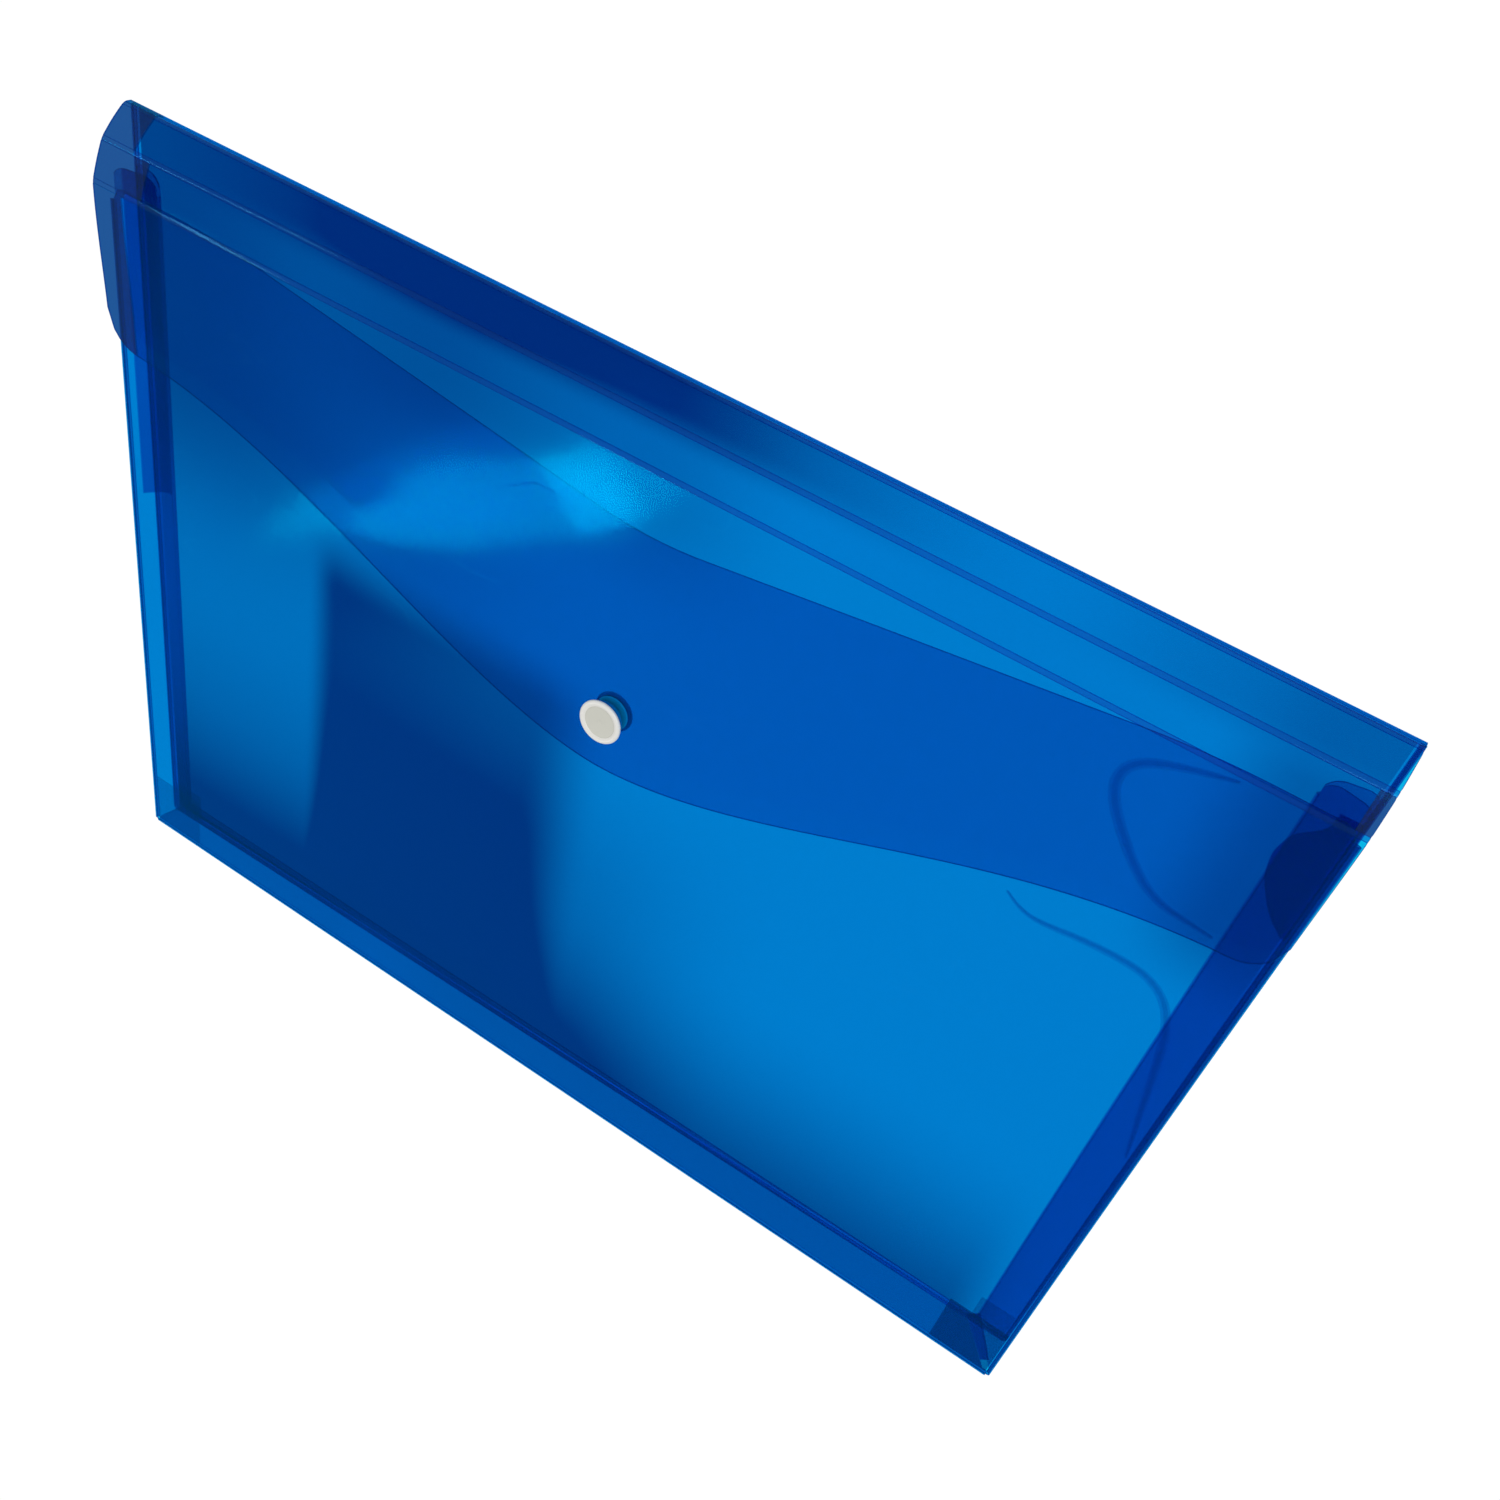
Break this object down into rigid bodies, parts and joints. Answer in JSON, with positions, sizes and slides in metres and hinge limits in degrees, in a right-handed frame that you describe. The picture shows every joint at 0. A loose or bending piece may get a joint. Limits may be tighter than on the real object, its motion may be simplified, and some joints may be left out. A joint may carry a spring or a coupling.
{
  "type": "expanding document wallet",
  "caption": "Landscape document wallet in translucent film, with V-fold gussets on three sides, a full-width wavy flap on a creased spine and a press stud.",
  "frame": {"origin": "centre of the wallet's outline on the underside of the back panel, lying on its back", "axes": "+X along the width, +Y up the page towards the top fold, +Z out of the front panel"},
  "size_m": [0.36, 0.252, 0.0168],
  "materials": {
    "film_blue": "glossy translucent polypropylene film",
    "popper_white": "glossy moulded plastic"
  },
  "bodies": {
    "back": {"back_panel": "film_blue"},
    "left_gusset_rear_leaf": {"left_gusset_rear": "film_blue"},
    "left_gusset_front_leaf": {"left_gusset_front": "film_blue"},
    "front": {"front_panel": "film_blue", "popper_stud": "popper_white", "popper_rivet": "popper_white"},
    "right_gusset_rear_leaf": {"right_gusset_rear": "film_blue"},
    "right_gusset_front_leaf": {"right_gusset_front": "film_blue"},
    "bottom_gusset_rear_leaf": {"bottom_gusset_rear": "film_blue"},
    "bottom_gusset_front_leaf": {"bottom_gusset_front": "film_blue"},
    "top_fold_strip": {"top_fold": "film_blue"},
    "spine_rear_strip": {"spine_rear": "film_blue"},
    "spine_front_strip": {"spine_front": "film_blue"},
    "flap_panel": {"flap": "film_blue", "popper_cap": "popper_white", "popper_socket": "popper_white"}
  },
  "joints": [
    {"name": "expand", "type": "hinge", "parent": "back", "child": "left_gusset_rear_leaf", "pos_m": [-0.18, -0.126, 0.0015], "axis": [0, -1, 0], "range_deg": [-12.9, 13.76], "stiffness_Nm_per_rad": 0.1, "springref_deg": 14.32},
    {"name": "left_gusset_crease", "type": "hinge", "parent": "left_gusset_rear_leaf", "child": "left_gusset_front_leaf", "pos_m": [-0.16696, -0.126, 0.005], "axis": [0, -1, 0], "range_deg": [-27.57, 25.85]},
    {"name": "left_front_edge", "type": "hinge", "parent": "left_gusset_front_leaf", "child": "front", "pos_m": [-0.18, -0.126, 0.0085], "axis": [0, -1, 0], "range_deg": [-12.95, 13.81]},
    {"name": "right_back_edge", "type": "hinge", "parent": "back", "child": "right_gusset_rear_leaf", "pos_m": [0.18, -0.126, 0.0015], "axis": [0, 1, 0], "range_deg": [-12.95, 13.81]},
    {"name": "right_gusset_crease", "type": "hinge", "parent": "right_gusset_rear_leaf", "child": "right_gusset_front_leaf", "pos_m": [0.16696, -0.126, 0.005], "axis": [0, 1, 0], "range_deg": [-27.57, 25.85]},
    {"name": "bottom_back_edge", "type": "hinge", "parent": "back", "child": "bottom_gusset_rear_leaf", "pos_m": [0, -0.126, 0.0015], "axis": [1, 0, 0], "range_deg": [-12.95, 13.81]},
    {"name": "bottom_gusset_crease", "type": "hinge", "parent": "bottom_gusset_rear_leaf", "child": "bottom_gusset_front_leaf", "pos_m": [0, -0.11296, 0.005], "axis": [1, 0, 0], "range_deg": [-27.57, 25.85]},
    {"name": "top_fold_crease", "type": "hinge", "parent": "back", "child": "top_fold_strip", "pos_m": [0, 0.12575, 0.0005], "axis": [-1, 0, 0], "range_deg": [-19.01, 20.28]},
    {"name": "flap_open", "type": "hinge", "parent": "top_fold_strip", "child": "spine_rear_strip", "pos_m": [0, 0.12575, 0.0031], "axis": [-1, 0, 0], "range_deg": [0, 115]},
    {"name": "spine_crease", "type": "hinge", "parent": "spine_rear_strip", "child": "spine_front_strip", "pos_m": [0, 0.11803, 0.01094], "axis": [-1, 0, 0], "range_deg": [-0.05, 28.8]},
    {"name": "flap_crease", "type": "hinge", "parent": "spine_front_strip", "child": "flap_panel", "pos_m": [0, 0.10775, 0.01485], "axis": [-1, 0, 0], "range_deg": [-20.28, 19.01]}
  ],
  "couplings": [
    {"joint": "left_gusset_crease", "follows": "expand", "ratio": -2},
    {"joint": "left_front_edge", "follows": "expand", "ratio": 1},
    {"joint": "right_back_edge", "follows": "expand", "ratio": 1},
    {"joint": "right_gusset_crease", "follows": "expand", "ratio": -2},
    {"joint": "bottom_back_edge", "follows": "expand", "ratio": 1},
    {"joint": "bottom_gusset_crease", "follows": "expand", "ratio": -2},
    {"joint": "top_fold_crease", "follows": "expand", "ratio": 1.47},
    {"joint": "flap_crease", "follows": "expand", "ratio": -1.47},
    {"joint": "spine_crease", "follows": "flap_open", "ratio": 0.25}
  ]
}
